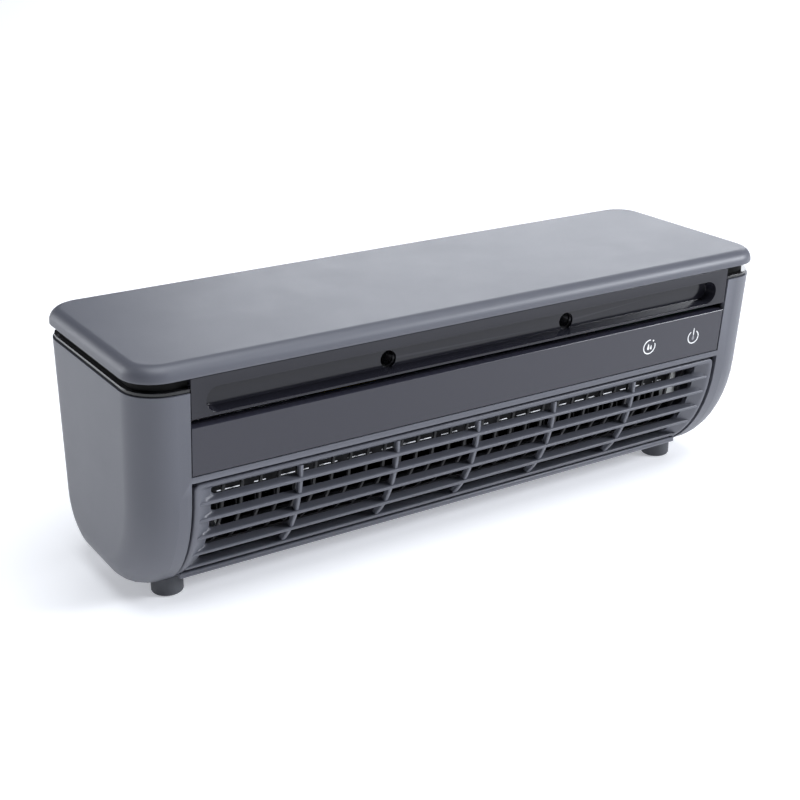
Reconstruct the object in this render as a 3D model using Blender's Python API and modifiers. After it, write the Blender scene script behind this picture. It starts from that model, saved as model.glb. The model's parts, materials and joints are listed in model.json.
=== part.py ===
"""Filament dryer: a slim hot-air unit with a lift-off lid, modelled as its separate pieces.

Metres, +Z up, origin on the floor under the middle of the body. +X runs along the length and
the louvres face -Y.
"""

import math

import bmesh
import bpy
from mathutils import Matrix, Vector

MM = 0.001
GAP = 0.3 * MM

# Lid
LID_X = 300 * MM
LID_Y = 96.4 * MM
LID_Z = 101.2 * MM
LID_THICK = 5.9 * MM
LID_CORNER = 14 * MM
LID_SOFT_EDGE = 5.2 * MM
LID_POCKET_DEPTH = 3.6 * MM
LID_SKIRT = 7 * MM

# Shell: a trough whose front belly is long and slanted and whose back is nearly upright
SHELL_X = 299.2 * MM
SHELL_Y = 96.0 * MM
SHELL_TOP = 95.7 * MM
SHELL_FLOOR = 4.4 * MM
SHELL_WALL = 2.4 * MM
SHELL_END_ROUND = 15.3 * MM
FRONT_BELLY = (38.0 * MM, 49.3 * MM)
BACK_BELLY = (24.6 * MM, 26.9 * MM)
FRONT_DRAFT = 0.091
BACK_DRAFT = 0.033
FRONT, BACK = -1, 1

# Front
WINDOW_X = 258.6 * MM
FASCIA_LOW = 85.1 * MM
FASCIA_BACK = 12 * MM
PANEL_LOW = 61.8 * MM
PANEL_TOP = 84.0 * MM
PANEL_THICK = 3.0 * MM
PANEL_CHAMFER = 1.3 * MM
BAR_LOW = 59.4 * MM

CHANNEL_X = 246 * MM
CHANNEL_Z = 91.15 * MM
CHANNEL_HIGH = 10.3 * MM
CHANNEL_DEEP = 5.5 * MM
CHANNEL_DRAFT = 1.1 * MM
PORT_X = 43.5 * MM
PORT_Z = 90.2 * MM
PORT_MOUTH_R = 3.5 * MM
PORT_R = 3.0 * MM
PORT_SLEEVE_R = 4.6 * MM
PORT_SLEEVE_LONG = 11 * MM
PORT_SETBACK = 1.0 * MM

# Louvre grille
GRILLE_GAP = 0.9 * MM
GRILLE_FACE = 0.4 * MM
GRILLE_THICK = 3.0 * MM
GRILLE_BORDER = 2.8 * MM
GRILLE_OPENING_EDGE = 8.3 * MM
GRILLE_SCOOP = 2.6 * MM
GRILLE_OPEN_HIGH = 53.5 * MM
GRILLE_BEVEL_HIGH = 56.3 * MM
GRILLE_BACK_Y = 21 * MM
SLAT_HEIGHTS = (14.8 * MM, 23.9 * MM, 32.9 * MM, 41.3 * MM, 48.8 * MM)
SLAT_LIP = 1.4 * MM
SLAT_DEEP = 7.2 * MM
SLAT_RISE = 1.6 * MM
RIB_X = (-82.9 * MM, -39.2 * MM, 0.0, 39.2 * MM, 82.9 * MM)
RIB_THICK = 2.0 * MM
RAIL_FRONT = 23.6 * MM
RAIL_BACK = 21.4 * MM
RAIL_LOW = 10.1 * MM
RAIL_HIGH = 12.6 * MM

# Back
INTAKE_X = 214 * MM
INTAKE_LOW = 27 * MM
INTAKE_HIGH = 56 * MM
INTAKE_SLOTS = 24
INTAKE_SLOT = 3.2 * MM
INLET_X = 112 * MM
INLET_Z = 78 * MM
INLET_WIDE = 21 * MM
INLET_HIGH = 13 * MM
PIN_APART = 8.6 * MM

# Inside
GUARD_INSET = 9.2 * MM
GUARD_THICK = 1.2 * MM
GUARD_BARS = 30
GUARD_BAR = 1.1 * MM
DECK_Z = 59.0 * MM
DECK_THICK = 1.6 * MM
HEATER_X = 232 * MM
HEATER_Y = -21.6 * MM
HEATER_DEEP = 12 * MM
HEATER_LOW = 35 * MM
HEATER_HIGH = 57 * MM
HEATER_WEBS = 28
BLOWER_Y = 7 * MM
BLOWER_Z = 36 * MM
IMPELLER_R = 16 * MM
IMPELLER_X = 196 * MM
IMPELLER_BLADES = 14
POST_X = 131 * MM
POST_FRONT_Y = -31 * MM
POST_BACK_Y = 41 * MM
TRAY_NEAR_X = 72 * MM
TRAY_FAR_X = 126 * MM
TRAY_SLOTS = 7

# Feet
FOOT_X = 127.5 * MM
FOOT_Y = 10.6 * MM
FOOT_R = 6.5 * MM


def start_scene():
    for obj in list(bpy.data.objects):
        bpy.data.objects.remove(obj, do_unlink=True)
    parts = bpy.data.collections.new("filament_dryer")
    cutters = bpy.data.collections.new("cutters")
    for collection in (parts, cutters):
        bpy.context.scene.collection.children.link(collection)
    cutters.hide_render = True
    return parts, cutters


PARTS, CUTTERS = start_scene()
MATERIALS = {}


def material(name, color, roughness, metallic=0.0):
    made = bpy.data.materials.new(name)
    made.use_nodes = True
    shader = made.node_tree.nodes["Principled BSDF"]
    shader.inputs["Base Color"].default_value = (*color, 1.0)
    shader.inputs["Roughness"].default_value = roughness
    shader.inputs["Metallic"].default_value = metallic
    MATERIALS[name] = made


material("grey_plastic", (0.155, 0.165, 0.185), 0.5)
material("black_plastic", (0.045, 0.045, 0.052), 0.42)
material("gloss_black", (0.012, 0.012, 0.014), 0.12)
material("panel_black", (0.06, 0.06, 0.07), 0.35)
material("inner_plastic", (0.02, 0.02, 0.022), 0.6)
material("rubber_grey", (0.06, 0.062, 0.068), 0.75)
material("steel", (0.55, 0.55, 0.56), 0.3, 1.0)
material("aluminium", (0.75, 0.76, 0.78), 0.35, 1.0)
material("brass", (0.7, 0.55, 0.3), 0.35, 1.0)
material("circuit_green", (0.02, 0.12, 0.05), 0.45)
material("component", (0.03, 0.03, 0.035), 0.5)
material("transformer_tape", (0.6, 0.45, 0.08), 0.5)
material("filter_foam", (0.05, 0.05, 0.055), 0.9)
material("white_plastic", (0.75, 0.76, 0.76), 0.45)


def add_object(name, mesh, material_name, cutter=False):
    obj = bpy.data.objects.new(name, mesh)
    (CUTTERS if cutter else PARTS).objects.link(obj)
    if cutter:
        obj.hide_render = True
        obj.display_type = "WIRE"
    else:
        mesh.materials.clear()
        mesh.materials.append(MATERIALS[material_name])
        mesh.shade_smooth()
        mesh.set_sharp_from_angle(angle=math.radians(32))
    return obj


def mesh_of(bm, name):
    bmesh.ops.recalc_face_normals(bm, faces=bm.faces)
    mesh = bpy.data.meshes.new(name)
    bm.to_mesh(mesh)
    bm.free()
    return mesh


def add_box(bm, low, high):
    size = Vector(high) - Vector(low)
    middle = (Vector(high) + Vector(low)) / 2
    place = Matrix.Translation(middle) @ Matrix.Diagonal((*size, 1.0))
    return bmesh.ops.create_cube(bm, size=1.0, matrix=place)["verts"]


def add_cylinder(bm, start, end, radius, sides=24):
    start, end = Vector(start), Vector(end)
    along = end - start
    turn = Vector((0, 0, 1)).rotation_difference(along).to_matrix().to_4x4()
    place = Matrix.Translation((start + end) / 2) @ turn
    return bmesh.ops.create_cone(
        bm,
        cap_ends=True,
        segments=sides,
        radius1=radius,
        radius2=radius,
        depth=along.length,
        matrix=place,
    )["verts"]


def boxes(name, corners, material_name=None):
    """One object of separate boxes, given as (low, high) pairs. Without a material it is a cutter."""
    bm = bmesh.new()
    for low, high in corners:
        add_box(bm, low, high)
    return add_object(name, mesh_of(bm, name), material_name, material_name is None)


def cylinders(name, rods, material_name=None, sides=24):
    """One object of separate cylinders, given as (start, end, radius)."""
    bm = bmesh.new()
    for start, end, radius in rods:
        add_cylinder(bm, start, end, radius, sides)
    return add_object(name, mesh_of(bm, name), material_name, material_name is None)


def rounded_box(name, low, high, corner, material_name=None, top_edge=0.0, steps=6, edge_steps=5):
    """A box with rounded upright edges and, if asked, a rounded rim round its top face."""
    bm = bmesh.new()
    add_box(bm, low, high)
    upright = [e for e in bm.edges if abs(e.verts[0].co.z - e.verts[1].co.z) > MM / 10]
    bmesh.ops.bevel(bm, geom=upright, offset=corner, segments=steps, affect="EDGES", profile=0.5)
    if top_edge:
        rim = [e for e in bm.edges if all(abs(v.co.z - high[2]) < MM / 100 for v in e.verts)]
        bmesh.ops.bevel(
            bm, geom=rim, offset=top_edge, segments=edge_steps, affect="EDGES", profile=0.5
        )
    return add_object(name, mesh_of(bm, name), material_name, material_name is None)


def boolean(obj, other, operation="DIFFERENCE"):
    modifier = obj.modifiers.new(f"{operation.lower()} {other.name}", "BOOLEAN")
    modifier.operation = operation
    modifier.object = other
    modifier.solver = "EXACT"


def belly(side):
    """The belly's depth and height, and the draft of the wall above it."""
    if side == FRONT:
        return (*FRONT_BELLY, FRONT_DRAFT)
    return (*BACK_BELLY, BACK_DRAFT)


def wall_y(z, inset=0.0, side=FRONT):
    """How far the shell's wall stands from the middle plane at height z, taken inset from its outside."""
    belly_y, belly_z, draft = belly(side)
    belly_y, belly_z = belly_y - inset, belly_z - inset
    low = SHELL_FLOOR + inset
    half = SHELL_Y / 2 - inset - draft * (SHELL_TOP - z)
    if z >= low + belly_z:
        return half
    rise = min(1.0, max(0.0, (low + belly_z - z) / belly_z))
    return half - belly_y * (1 - math.sqrt(1 - rise * rise))


def height_at(y, inset=0.0):
    """Height of the front belly where it stands y from the middle, found by halving."""
    low, high = SHELL_FLOOR + inset, SHELL_TOP
    for _ in range(40):
        middle = (low + high) / 2
        if wall_y(middle, inset) < y:
            low = middle
        else:
            high = middle
    return high


def band_outline(outer, inner, low_y, high_z, steps, side=FRONT, low_z=None):
    """A closed (y, z) outline that follows the wall between two insets, from high_z down to low_y."""

    def run(inset):
        bottom = low_z if low_z is not None else height_at(low_y, inset)
        turns = [i / steps * math.pi / 2 for i in range(steps + 1)]
        heights = [bottom + (high_z - bottom) * (1 - math.sin(turn)) for turn in turns]
        return [(side * wall_y(z, inset, side), z) for z in heights]

    return run(outer) + run(inner)[::-1]


def lofted(name, rings, material_name=None):
    """A closed solid through rings of points, each ring with the same number of them."""
    bm = bmesh.new()
    rows = [[bm.verts.new(point) for point in ring] for ring in rings]
    for row, after in zip(rows, rows[1:]):
        for index in range(len(row)):
            other = (index + 1) % len(row)
            bm.faces.new((row[index], row[other], after[other], after[index]))
    bm.faces.new(rows[0])
    bm.faces.new(rows[-1])
    return add_object(name, mesh_of(bm, name), material_name, material_name is None)


def extruded(name, outlines, low_x, high_x, material_name=None):
    """One object of separate prisms along X, each from a closed (y, z) outline."""
    curve = bpy.data.curves.new(name, "CURVE")
    curve.dimensions = "2D"
    curve.fill_mode = "BOTH"
    curve.extrude = (high_x - low_x) / 2
    for outline in outlines:
        spline = curve.splines.new("POLY")
        spline.points.add(len(outline) - 1)
        for point, (y, z) in zip(spline.points, outline):
            point.co = (y, z, 0, 1)
        spline.use_cyclic_u = True
    guide = bpy.data.objects.new(f"{name}_outline", curve)
    CUTTERS.objects.link(guide)
    bpy.context.view_layer.update()
    graph = bpy.context.evaluated_depsgraph_get()
    mesh = bpy.data.meshes.new_from_object(guide.evaluated_get(graph))
    bpy.data.objects.remove(guide)
    bpy.data.curves.remove(curve)
    bm = bmesh.new()
    bm.from_mesh(mesh)
    bpy.data.meshes.remove(mesh)
    bmesh.ops.remove_doubles(bm, verts=bm.verts, dist=1e-6)
    across = Matrix(((0, 0, 1, (low_x + high_x) / 2), (1, 0, 0, 0), (0, 1, 0, 0), (0, 0, 0, 1)))
    bmesh.ops.transform(bm, matrix=across, verts=bm.verts)
    return add_object(name, mesh_of(bm, name), material_name, material_name is None)


def turned(name, profile, place, material_name, steps=32):
    """A solid of revolution: profile is (radius, height) down the outside, place its matrix."""
    mesh = bpy.data.meshes.new(name)
    points = [(radius, 0, height) for radius, height in profile]
    mesh.from_pydata(points, [(i, i + 1) for i in range(len(points) - 1)], [])
    obj = add_object(name, mesh, material_name)
    screw = obj.modifiers.new("turn", "SCREW")
    screw.axis = "Z"
    screw.steps = steps
    screw.render_steps = steps
    screw.use_merge_vertices = True
    screw.merge_threshold = 1e-6
    screw.use_smooth_shade = True
    obj.matrix_world = place
    return obj


def facing(point, direction):
    """A matrix that stands a turned shape's axis along direction at point."""
    turn = Vector((0, 0, 1)).rotation_difference(Vector(direction)).to_matrix().to_4x4()
    return Matrix.Translation(point) @ turn


# ---------------------------------------------------------------- body shell


def trough_section(x, inset, top):
    """One ring of the trough: down the front wall, under the belly and up the back wall."""
    points = []
    for side, steps in ((FRONT, 12), (BACK, 9)):
        belly_y, belly_z, draft = belly(side)
        run = [(side * wall_y(top, inset, side), top)]
        for index in range(steps + 1):
            turn = index / steps * math.pi / 2
            z = SHELL_FLOOR + inset + (belly_z - inset) * (1 - math.sin(turn))
            half = SHELL_Y / 2 - inset - draft * (SHELL_TOP - z)
            run.append((side * (half - (belly_y - inset) * (1 - math.cos(turn))), z))
        points += run if side == FRONT else run[::-1]
    return [(x, y, z) for y, z in points]


def trough(name, inset, top, material_name=None):
    """The shell's outer shape as a solid, inset all round, with its ends rounded to one radius."""
    steps = 7
    radius = SHELL_END_ROUND - inset
    ends = []
    for index in range(steps + 1):
        turn = index / steps * math.pi / 2
        ends.append((SHELL_X / 2 - inset - radius * (1 - math.cos(turn)), radius * (1 - math.sin(turn))))
    stations = [(-x, shrink) for x, shrink in ends] + ends[::-1]
    rings = [trough_section(x, inset + shrink, top) for x, shrink in stations]
    return lofted(name, rings, material_name)


def post_places():
    return [(sx * POST_X, y) for sx in (-1, 1) for y in (POST_FRONT_Y, POST_BACK_Y)]


def body_shell():
    shell = trough("body_shell", 0, SHELL_TOP, "grey_plastic")
    boolean(shell, trough("shell_hollow", SHELL_WALL, SHELL_TOP + 6 * MM))
    posts = [((x, y, 30 * MM), (x, y, DECK_Z - GAP), 4 * MM) for x, y in post_places()]
    for x, y in foot_places():
        start = 7.3 * MM if y < 0 else 6 * MM
        posts.append(((x, y, start), (x, y, 14 * MM), 3.5 * MM))
    boolean(shell, cylinders("shell_posts", posts, sides=12), "UNION")
    half = WINDOW_X / 2
    back = -SHELL_Y / 2 + 9 * MM
    windows = [
        ((-half, -60 * MM, PANEL_LOW), (half, back, SHELL_TOP + 5 * MM)),
        ((-half, -60 * MM, 0), (half, -GRILLE_BACK_Y, BAR_LOW)),
    ]
    boolean(shell, boxes("shell_windows", windows))
    intake = ((-INTAKE_X / 2, 30 * MM, INTAKE_LOW), (INTAKE_X / 2, 60 * MM, INTAKE_HIGH))
    inlet = (
        (INLET_X - INLET_WIDE / 2 - GAP, 30 * MM, INLET_Z - INLET_HIGH / 2 - GAP),
        (INLET_X + INLET_WIDE / 2 + GAP, 60 * MM, INLET_Z + INLET_HIGH / 2 + GAP),
    )
    boolean(shell, boxes("shell_back_holes", [intake, inlet]))
    bores = [((x, y, 0), (x, y, 20 * MM), 1.8 * MM) for x, y in foot_places()]
    bores += [((x, y, 45 * MM), (x, y, 80 * MM), 1.6 * MM) for x, y in post_places()]
    boolean(shell, cylinders("shell_screw_bores", bores, sides=12))


def rim_bezel():
    """The thin gloss ring on the shell's rim, open at the front between the fascia's ends."""
    low, high = SHELL_TOP + GAP, SHELL_TOP + 1.6 * MM
    inset = 0.7 * MM
    out_x, out_y = SHELL_X / 2 - inset, SHELL_Y / 2 - inset
    in_x, in_y = SHELL_X / 2 - 6.2 * MM, SHELL_Y / 2 - 5.9 * MM
    bezel = rounded_box(
        "rim_bezel",
        (-out_x, -out_y, low),
        (out_x, out_y, high),
        SHELL_END_ROUND - inset,
        "gloss_black",
    )
    hole = rounded_box("bezel_hole", (-in_x, -in_y, low - MM), (in_x, in_y, high + MM), 9 * MM)
    boolean(bezel, hole)
    half = WINDOW_X / 2 - 0.2 * MM
    front = ((-half, -70 * MM, low - MM), (half, -30 * MM, high + MM))
    boolean(bezel, boxes("bezel_front", [front]))


# ---------------------------------------------------------------- front


def touch_panel():
    half = WINDOW_X / 2 - 0.5 * MM
    low, high = PANEL_LOW + GAP, PANEL_TOP
    face = 0.25 * MM
    outline = [
        (-wall_y(low, face), low),
        (-wall_y(low, PANEL_THICK), low),
        (-wall_y(high, PANEL_THICK), high),
        (-wall_y(high, face + PANEL_CHAMFER), high),
        (-wall_y(high - PANEL_CHAMFER, face), high - PANEL_CHAMFER),
    ]
    extruded("touch_panel", [outline], -half, half, "panel_black")


def scoop(name, side, half):
    """The sloped cutter between a side border and the openings. It follows the wall's curve."""
    near, far = side * (half - GRILLE_BORDER), side * (half - GRILLE_OPENING_EDGE)
    outside = 4 * MM
    rings = []
    steps = 12
    for index in range(steps + 1):
        turn = index / steps * math.pi / 2
        z = RAIL_HIGH + (GRILLE_OPEN_HIGH - RAIL_HIGH) * (1 - math.sin(turn))
        front, face = -wall_y(z) - outside, -wall_y(z, GRILLE_FACE)
        deep = -wall_y(z, GRILLE_FACE + GRILLE_SCOOP)
        rings.append([(near, front, z), (near, face, z), (far, deep, z), (far, front, z)])
    return lofted(name, rings)


def slat_outline(z):
    """A louvre's (y, z) outline: an upright lip in the grille's face, with the blade rising behind it."""
    front = wall_y(z, GRILLE_FACE)
    back = front - SLAT_DEEP
    return [
        (-front, z),
        (-back, z + SLAT_RISE),
        (-back, z + SLAT_RISE + SLAT_LIP),
        (-wall_y(z + SLAT_LIP, GRILLE_FACE), z + SLAT_LIP),
    ]


def louvre_grille():
    half = WINDOW_X / 2 - GRILLE_GAP
    top = BAR_LOW - GRILLE_GAP
    low_y = GRILLE_BACK_Y + GRILLE_GAP
    band = band_outline(GRILLE_FACE, GRILLE_FACE + GRILLE_THICK, low_y, top, 14)
    grille = extruded("louvre_grille", [band], -half, half, "grey_plastic")
    open_x = half - GRILLE_OPENING_EDGE
    window = ((-open_x, -70 * MM, RAIL_HIGH), (open_x, 0, GRILLE_OPEN_HIGH))
    boolean(grille, boxes("grille_window", [window]))
    bevel = [
        (-wall_y(GRILLE_BEVEL_HIGH, GRILLE_FACE), GRILLE_BEVEL_HIGH),
        (-wall_y(GRILLE_OPEN_HIGH, GRILLE_FACE + GRILLE_SCOOP / 2), GRILLE_OPEN_HIGH),
        (-60 * MM, GRILLE_OPEN_HIGH),
        (-60 * MM, GRILLE_BEVEL_HIGH),
    ]
    bevel_x = half - GRILLE_BORDER
    boolean(grille, extruded("grille_top_bevel", [bevel], -bevel_x, bevel_x))
    for side in (-1, 1):
        boolean(grille, scoop(f"grille_scoop_{side}", side, half))
    rib = band_outline(
        GRILLE_FACE + 1.8 * MM,
        GRILLE_FACE + 6.4 * MM,
        low_y,
        GRILLE_OPEN_HIGH + MM,
        7,
        low_z=SLAT_HEIGHTS[0] + 0.6 * MM,
    )
    for index, x in enumerate(RIB_X):
        name = f"grille_rib_{index + 1}"
        boolean(grille, extruded(name, [rib], x - RIB_THICK / 2, x + RIB_THICK / 2), "UNION")
    slat_x = half - GRILLE_BORDER + GAP
    slats = [slat_outline(z) for z in SLAT_HEIGHTS]
    boolean(grille, extruded("grille_slats", slats, -slat_x, slat_x), "UNION")
    rail = [
        (-RAIL_FRONT, RAIL_HIGH - 0.8 * MM),
        (-RAIL_FRONT + 0.2 * MM, RAIL_LOW + 0.7 * MM),
        (-RAIL_FRONT + 0.9 * MM, RAIL_LOW),
        (-RAIL_BACK, RAIL_LOW),
        (-RAIL_BACK, RAIL_HIGH),
        (-RAIL_FRONT + 0.6 * MM, RAIL_HIGH),
    ]
    boolean(grille, extruded("grille_rail", [rail], -half + MM, half - MM), "UNION")


def inner_guard():
    """The comb of fine upright bars behind the louvres, cut from one bent plate."""
    half = WINDOW_X / 2 - 9 * MM
    high, low, rail = 55 * MM, 19 * MM, 2.4 * MM
    band = band_outline(GUARD_INSET, GUARD_INSET + GUARD_THICK, 0, high, 3, low_z=low)
    guard = extruded("inner_guard", [band], -half, half, "inner_plastic")
    pitch = (2 * half - GUARD_BAR) / GUARD_BARS
    gaps = []
    for index in range(GUARD_BARS):
        x = -half + GUARD_BAR + pitch * index
        gaps.append(((x, -60 * MM, low + rail), (x + pitch - GUARD_BAR, 0, high - rail)))
    boolean(guard, boxes("guard_gaps", gaps))


# ---------------------------------------------------------------- lid


def lid_cover():
    half_x, half_y = LID_X / 2, LID_Y / 2
    cover = rounded_box(
        "lid_cover",
        (-half_x, -half_y, LID_Z),
        (half_x, half_y, LID_Z + LID_THICK),
        LID_CORNER,
        "grey_plastic",
        top_edge=LID_SOFT_EDGE,
        steps=8,
        edge_steps=6,
    )
    in_x, in_y = half_x - LID_SKIRT, half_y - LID_SKIRT
    pocket_low = (-in_x, -in_y, LID_Z - 5 * MM)
    pocket = rounded_box("lid_pocket", pocket_low, (in_x, in_y, LID_Z + LID_POCKET_DEPTH), 7 * MM)
    boolean(cover, pocket)


def top_frame():
    """The black frame under the lid: a tray turned over, its recessed neck, and the front fascia."""
    out_x, out_y = LID_X / 2 - LID_SKIRT - GAP, LID_Y / 2 - LID_SKIRT - GAP
    high = LID_Z + LID_POCKET_DEPTH - GAP
    low = 90 * MM
    corners = ((-out_x, -out_y, low), (out_x, out_y, high))
    frame = rounded_box("top_frame", *corners, 6.7 * MM, "black_plastic")
    half = WINDOW_X / 2 - 0.5 * MM
    face = GAP
    fascia_top = LID_Z - GAP
    front_low, front_high = wall_y(FASCIA_LOW, face), wall_y(SHELL_TOP, face)
    outline = [
        (-front_low, FASCIA_LOW),
        (-front_low + FASCIA_BACK, FASCIA_LOW),
        (-front_low + FASCIA_BACK, fascia_top),
        (-front_high, fascia_top),
    ]
    boolean(frame, extruded("fascia_block", [outline], -half, half), "UNION")
    wall = 2.4 * MM
    hollow_low = (-out_x + wall, -out_y + 8 * MM, 80 * MM)
    boolean(frame, boxes("frame_hollow", [(hollow_low, (out_x - wall, out_y - wall, high - wall))]))
    boolean(frame, channel_cutter())
    bores = []
    for sx in (-1, 1):
        seat = channel_floor_y() + PORT_SETBACK
        bores.append(((sx * PORT_X, seat, PORT_Z), (sx * PORT_X, 0, PORT_Z), PORT_SLEEVE_R + GAP))
    boolean(frame, cylinders("port_seats", bores, sides=32))
    mouths = [
        ((sx * PORT_X, -60 * MM, PORT_Z), (sx * PORT_X, -20 * MM, PORT_Z), PORT_MOUTH_R) for sx in (-1, 1)
    ]
    boolean(frame, cylinders("port_mouths", mouths, sides=32))


def channel_floor_y():
    return -wall_y(CHANNEL_Z, GAP) + CHANNEL_DEEP


def obround(y, length, height, steps=10):
    """A ring of points round a long slot with half-round ends, at depth y."""
    radius = height / 2
    middle = length / 2 - radius
    points = []
    for sx, start in ((1, -90), (-1, 90)):
        for index in range(steps + 1):
            turn = math.radians(start + 180 * index / steps)
            x = sx * middle + radius * math.cos(turn)
            points.append((x, y, CHANNEL_Z + radius * math.sin(turn)))
    return points


def channel_cutter():
    """The trench along the fascia's face. Its walls draw in towards the floor."""
    floor, face = channel_floor_y(), channel_floor_y() - CHANNEL_DEEP
    reach = 8 * MM
    slope = CHANNEL_DRAFT / CHANNEL_DEEP
    outer = 2 * slope * reach
    rings = [
        obround(face - reach, CHANNEL_X + outer, CHANNEL_HIGH + outer),
        obround(floor, CHANNEL_X - 2 * CHANNEL_DRAFT, CHANNEL_HIGH - 2 * CHANNEL_DRAFT),
    ]
    return lofted("channel_trench", rings)


def port_inserts():
    """Metal sleeves behind the two ports' mouths."""
    length = PORT_SLEEVE_LONG
    profile = [
        (PORT_SLEEVE_R, length),
        (PORT_SLEEVE_R, 0),
        (PORT_R + 0.4 * MM, 0),
        (PORT_R, 0.5 * MM),
        (PORT_R, length - 0.5 * MM),
        (PORT_R + 0.4 * MM, length),
        (PORT_SLEEVE_R, length),
    ]
    back = channel_floor_y() + PORT_SETBACK + GAP / 2 + length
    for side, sx in (("left", -1), ("right", 1)):
        place = facing((sx * PORT_X, back, PORT_Z), (0, -1, 0))
        turned(f"port_insert_{side}", profile, place, "steel", 24)


# ---------------------------------------------------------------- back

def intake_cover():
    """The rear intake's slotted cover, which pulls straight off for the filter behind it."""
    half = INTAKE_X / 2 - 0.5 * MM
    face, margin = 0.2 * MM, 0.5 * MM
    low, high = INTAKE_LOW + margin, INTAKE_HIGH - margin
    band = band_outline(face, face + 2 * MM, 0, high, 5, BACK, low)
    cover = extruded("intake_cover", [band], -half, half, "grey_plastic")
    border = 6 * MM
    pitch = 2 * (half - border) / INTAKE_SLOTS
    slots = []
    for index in range(INTAKE_SLOTS):
        x = -half + border + pitch * (index + 0.5)
        slot_low = (x - INTAKE_SLOT / 2, 20 * MM, INTAKE_LOW + 5 * MM)
        slots.append((slot_low, (x + INTAKE_SLOT / 2, 60 * MM, INTAKE_HIGH - 5 * MM)))
    boolean(cover, boxes("intake_slots", slots))


def dust_filter():
    half = INTAKE_X / 2 - 3 * MM
    low, high = INTAKE_LOW + 2.5 * MM, INTAKE_HIGH - 2.5 * MM
    band = band_outline(2.6 * MM, 4.4 * MM, 0, high, 6, BACK, low)
    extruded("dust_filter", [band], -half, half, "filter_foam")


def power_inlet():
    """A two-pin figure-eight inlet in the back wall."""
    face = wall_y(INLET_Z, -0.5 * MM, BACK)
    back = wall_y(INLET_Z, 13 * MM, BACK)
    low = (INLET_X - INLET_WIDE / 2, back, INLET_Z - INLET_HIGH / 2)
    high = (INLET_X + INLET_WIDE / 2, face, INLET_Z + INLET_HIGH / 2)
    inlet = boxes("power_inlet", [(low, high)], "inner_plastic")
    mouth_x, mouth_z = 8.3 * MM, 4.3 * MM
    bm = bmesh.new()
    mouth_low = (INLET_X - mouth_x, back + 3 * MM, INLET_Z - mouth_z)
    add_box(bm, mouth_low, (INLET_X + mouth_x, face + 5 * MM, INLET_Z + mouth_z))
    along_y = [e for e in bm.edges if abs(e.verts[0].co.y - e.verts[1].co.y) > MM]
    round_off = mouth_z * 0.99
    bmesh.ops.bevel(bm, geom=along_y, offset=round_off, segments=5, affect="EDGES", profile=0.5)
    boolean(inlet, add_object("inlet_socket", mesh_of(bm, "inlet_socket"), None, True))
    pins = []
    for sx in (-1, 1):
        x = INLET_X + sx * PIN_APART / 2
        pins.append(((x, back + 1.5 * MM, INLET_Z), (x, face - 4 * MM, INLET_Z), 1.2 * MM))
    boolean(inlet, cylinders("inlet_pins", pins, sides=12), "UNION")


# ---------------------------------------------------------------- feet and screws


def foot_places():
    return [(sx * FOOT_X, sy * FOOT_Y) for sx in (-1, 1) for sy in (-1, 1)]


def feet():
    high = 12 * MM
    recess, hole, head = 2.4 * MM, 1.8 * MM, 3.2 * MM
    profile = [
        (hole, high),
        (FOOT_R, high),
        (FOOT_R, 0.9 * MM),
        (FOOT_R - 0.3 * MM, 0.3 * MM),
        (FOOT_R - 0.9 * MM, 0),
        (head, 0),
        (head, recess),
        (hole, recess),
        (hole, high),
    ]
    screw = [
        (0, 13 * MM),
        (1.2 * MM, 13 * MM),
        (1.4 * MM, 12.6 * MM),
        (1.4 * MM, recess - 0.1 * MM),
        (2.9 * MM, recess - 0.1 * MM),
        (2.9 * MM, 1.2 * MM),
        (2.2 * MM, 0.7 * MM),
        (0.9 * MM, 0.7 * MM),
        (0.8 * MM, 1.5 * MM),
        (0, 1.5 * MM),
    ]
    body = trough("foot_trim", -0.1 * MM, SHELL_TOP)
    for index, (x, y) in enumerate(foot_places()):
        place = facing((x, y, 0), (0, 0, 1))
        foot = turned(f"foot_{index + 1}", profile, place, "rubber_grey", 24)
        boolean(foot, body)
        turned(f"foot_screw_{index + 1}", screw, place, "steel", 12)


def deck():
    """The shelf that parts the air path below from the electronics above."""
    half_x = SHELL_X / 2 - 10 * MM
    front, rear = -39.6 * MM, 43.8 * MM
    high = DECK_Z + DECK_THICK
    corners = ((-half_x, front, DECK_Z), (half_x, rear, high))
    plate = rounded_box("deck_plate", *corners, 8 * MM, "inner_plastic", steps=4)
    holes = [((x, y, 50 * MM), (x, y, 70 * MM), 1.8 * MM) for x, y in post_places()]
    boolean(plate, cylinders("deck_holes", holes, sides=12))
    screw = [
        (0, 2.2 * MM),
        (2.2 * MM, 2.2 * MM),
        (2.9 * MM, 1.6 * MM),
        (2.9 * MM, 0.1 * MM),
        (1.4 * MM, 0.1 * MM),
        (1.4 * MM, -8.6 * MM),
        (0, -9.6 * MM),
    ]
    for index, (x, y) in enumerate(post_places()):
        turned(f"deck_screw_{index + 1}", screw, facing((x, y, high), (0, 0, 1)), "steel", 12)


# ---------------------------------------------------------------- air path


def fin_pack(name, low, high, front, rear, half):
    """Thin upright webs between two strips, above or below the heater's core."""
    strip = 0.8 * MM
    strips = [
        ((-half, front, low), (half, rear, low + strip)),
        ((-half, front, high - strip), (half, rear, high)),
    ]
    fins = boxes(name, strips, "aluminium")
    pitch = 2 * (half - MM) / (HEATER_WEBS - 1)
    webs = []
    for index in range(HEATER_WEBS):
        x = -half + MM + pitch * index
        web_low = (x - 0.3 * MM, front + 0.5 * MM, low + strip / 2)
        webs.append((web_low, (x + 0.3 * MM, rear - 0.5 * MM, high - strip / 2)))
    boolean(fins, boxes(f"{name}_webs", webs), "UNION")


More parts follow.
